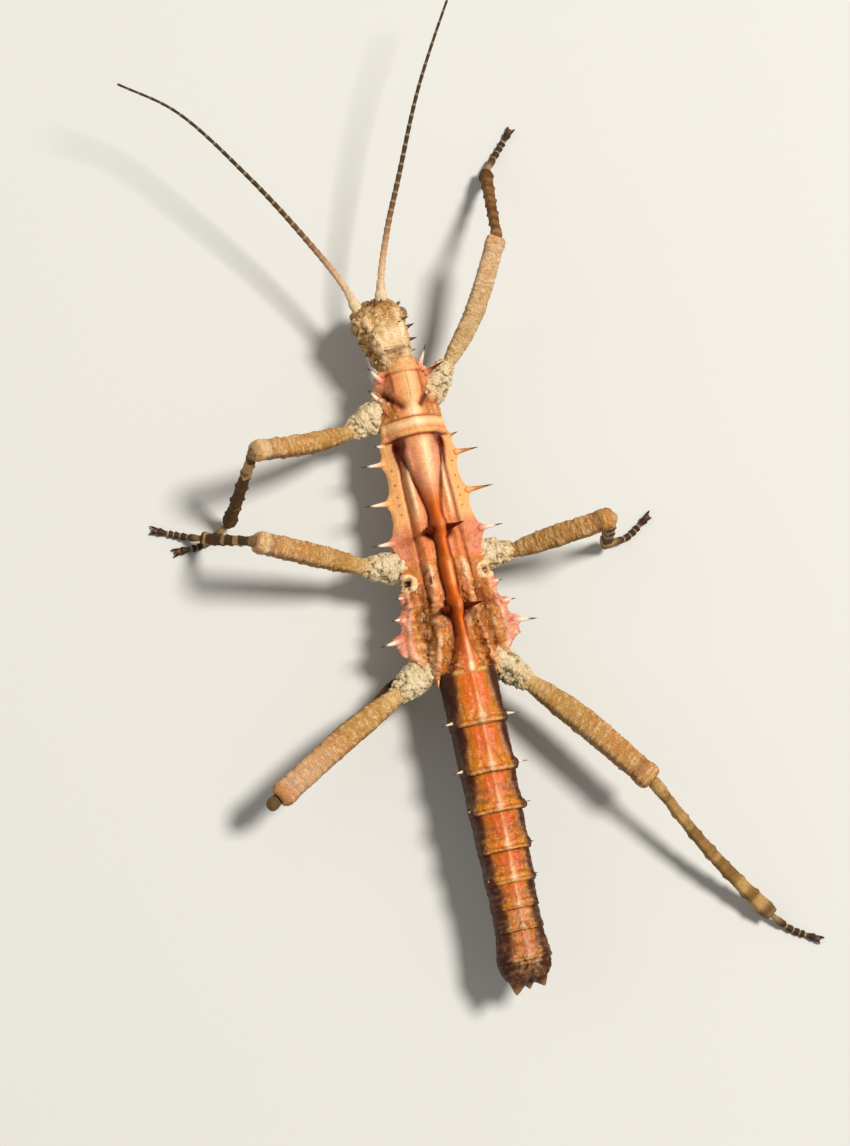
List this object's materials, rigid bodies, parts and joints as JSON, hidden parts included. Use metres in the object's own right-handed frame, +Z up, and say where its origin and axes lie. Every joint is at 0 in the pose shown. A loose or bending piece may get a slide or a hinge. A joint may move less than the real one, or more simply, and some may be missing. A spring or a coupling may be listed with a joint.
{
  "type": "spiny stick insect",
  "caption": "Still, life-size model of a spiny ground stick insect, standing on the floor with its feelers spread forward.",
  "frame": {"origin": "on the floor under the middle of the model's bounding box", "axes": "+Z up from the floor, +Y towards the head, +X towards the animal's right side"},
  "size_m": [0.038, 0.066, 0.0095],
  "materials": {
    "head_cuticle": "rough granular straw-tan cuticle",
    "thorax_cuticle": "satin salmon-orange cuticle with red-brown grooves and dark-tipped spines",
    "hip_cuticle": "rough wrinkled brown-tan cuticle",
    "abdomen_cuticle": "satin rust-red cuticle with golden hind margins and dark maroon sides",
    "femur_cuticle": "fine-grained tan-brown cuticle",
    "tibia_cuticle": "fine-grained brown cuticle with pale bands",
    "foot_cuticle": "dark brown cuticle",
    "feeler": "ringed cuticle, pale tan at the root and dark at the tip",
    "eye": "glossy mottled brown eye"
  },
  "bodies": {
    "root": {"head": "head_cuticle", "eye_right": "eye", "antenna_root_right": "head_cuticle", "antenna_right": "feeler", "eye_left": "eye", "antenna_root_left": "head_cuticle", "antenna_left": "feeler", "prothorax": "thorax_cuticle", "mesothorax": "thorax_cuticle", "metathorax": "hip_cuticle", "abdomen_2": "abdomen_cuticle", "abdomen_3": "abdomen_cuticle", "abdomen_4": "abdomen_cuticle", "abdomen_5": "abdomen_cuticle", "abdomen_6": "abdomen_cuticle", "abdomen_7": "abdomen_cuticle", "abdomen_8": "abdomen_cuticle", "abdomen_9": "abdomen_cuticle", "abdomen_10": "abdomen_cuticle", "coxa_fore_right": "hip_cuticle", "femur_fore_right": "femur_cuticle", "tibia_fore_right": "tibia_cuticle", "tarsus_fore_right": "foot_cuticle", "coxa_fore_left": "hip_cuticle", "femur_fore_left": "femur_cuticle", "tibia_fore_left": "tibia_cuticle", "tarsus_fore_left": "foot_cuticle", "coxa_mid_right": "hip_cuticle", "femur_mid_right": "femur_cuticle", "tibia_mid_right": "tibia_cuticle", "tarsus_mid_right": "foot_cuticle", "coxa_mid_left": "hip_cuticle", "femur_mid_left": "femur_cuticle", "tibia_mid_left": "tibia_cuticle", "tarsus_mid_left": "foot_cuticle", "coxa_hind_right": "hip_cuticle", "femur_hind_right": "femur_cuticle", "tibia_hind_right": "tibia_cuticle", "tarsus_hind_right": "foot_cuticle", "coxa_hind_left": "hip_cuticle", "femur_hind_left": "femur_cuticle", "tibia_hind_left": "tibia_cuticle", "tarsus_hind_left": "foot_cuticle"}
  },
  "joints": []
}
